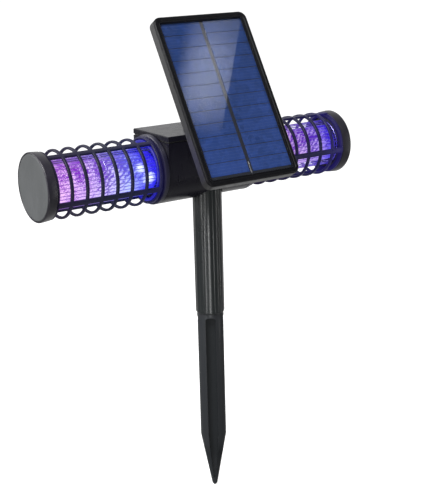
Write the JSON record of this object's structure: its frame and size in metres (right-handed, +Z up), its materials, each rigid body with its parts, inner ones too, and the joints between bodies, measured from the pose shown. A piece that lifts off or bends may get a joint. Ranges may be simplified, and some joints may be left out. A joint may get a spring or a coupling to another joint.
{
  "type": "solar electric bug zapper on a ground stake",
  "caption": "Garden bug zapper: a tilting solar panel above a round-bottomed housing with a lit, hooped cage on either side, standing on a tube with a fluted ground spike.",
  "frame": {"origin": "on the stake's axis, at the lower end face of the tube, where it sits on the ground spike's shoulder", "axes": "+Z up along the stake, +X along the two cages to the right of a viewer in front, -Y towards the side that the solar panel faces"},
  "size_m": [0.3204, 0.1214, 0.4523],
  "materials": {
    "body_plastic": "black moulded plastic, satin gloss",
    "spike_plastic": "dark moulded plastic with a soft sheen",
    "inner_plastic": "black moulded plastic",
    "cap_face_plastic": "mid-grey plastic disc, fine texture",
    "seal_rubber": "soft black rubber",
    "lead_rubber": "flexible insulated lead",
    "steel_hardware": "zinc-plated screws and bolt",
    "grid_steel": "thin bright wires",
    "light_diffuser": "clear tube, lit violet from inside",
    "board_laminate": "green circuit board",
    "transformer_copper": "copper winding on a core",
    "cell_wrap": "shrink-wrapped round cell",
    "solar_laminate": "blue solar cells with silver bus bars",
    "cover_glass": "clear flat cover"
  },
  "bodies": {
    "stake": {"ground_spike": "spike_plastic", "stake_tube": "body_plastic"},
    "head": {"housing_shell": "body_plastic", "housing_lid": "body_plastic", "lid_gasket": "seal_rubber", "lid_screw_1": "steel_hardware", "lid_screw_2": "steel_hardware", "stake_socket": "inner_plastic", "battery_cell_front": "cell_wrap", "battery_cell_rear": "cell_wrap", "battery_cradle": "inner_plastic", "circuit_board": "board_laminate", "step_up_transformer": "transformer_copper", "push_switch": "inner_plastic", "left_light_lead": "lead_rubber", "right_light_lead": "lead_rubber", "button_surround": "body_plastic", "left_socket_ring": "body_plastic", "left_grid_base": "inner_plastic", "left_grid_wires": "grid_steel", "left_light_tube": "light_diffuser", "left_led_strip": "board_laminate", "left_grid_tip": "inner_plastic", "right_socket_ring": "body_plastic", "right_grid_base": "inner_plastic", "right_grid_wires": "grid_steel", "right_light_tube": "light_diffuser", "right_led_strip": "board_laminate", "right_grid_tip": "inner_plastic", "support_arm": "body_plastic", "arm_screw_1": "steel_hardware", "arm_screw_2": "steel_hardware", "hinge_bolt": "steel_hardware"},
    "left_cage": {"left_cage_frame": "body_plastic", "left_end_cap": "body_plastic", "left_cap_face": "cap_face_plastic"},
    "right_cage": {"right_cage_frame": "body_plastic", "right_end_cap": "body_plastic", "right_cap_face": "cap_face_plastic"},
    "panel": {"panel_tray": "body_plastic", "panel_bezel": "body_plastic", "solar_laminate": "solar_laminate", "cover_glass": "cover_glass", "panel_bracket": "body_plastic", "tray_screw_1": "steel_hardware", "tray_screw_2": "steel_hardware", "tray_screw_3": "steel_hardware", "tray_screw_4": "steel_hardware", "bracket_screw_1": "steel_hardware", "bracket_screw_2": "steel_hardware"},
    "knob": {"tilt_knob": "body_plastic"},
    "button": {"power_button": "seal_rubber"}
  },
  "joints": [
    {"name": "head_swivel", "type": "hinge", "parent": "stake", "child": "head", "pos_m": [0, 0, 0.125], "axis": [0, 0, 1], "continuous": true},
    {"name": "left_cage_twist", "type": "hinge", "parent": "head", "child": "left_cage", "pos_m": [-0.0065, 0.0095, 0.142], "axis": [1, 0, 0], "range_deg": [0, 40]},
    {"name": "right_cage_twist", "type": "hinge", "parent": "head", "child": "right_cage", "pos_m": [-0.0065, 0.0095, 0.142], "axis": [1, 0, 0], "range_deg": [0, 40]},
    {"name": "panel_tilt", "type": "hinge", "parent": "head", "child": "panel", "pos_m": [-0.0015, -0.0208, 0.1919], "axis": [1, 0, 0], "range_deg": [-58.8, 31]},
    {"name": "knob_turn", "type": "hinge", "parent": "head", "child": "knob", "pos_m": [-0.0015, -0.0208, 0.1919], "axis": [1, 0, 0], "continuous": true},
    {"name": "power_button_press", "type": "slide", "parent": "head", "child": "button", "axis": [0, -1, 0], "range_m": [0, 0.0015], "stiffness_N_per_m": 400, "springref_m": -0.0005}
  ]
}
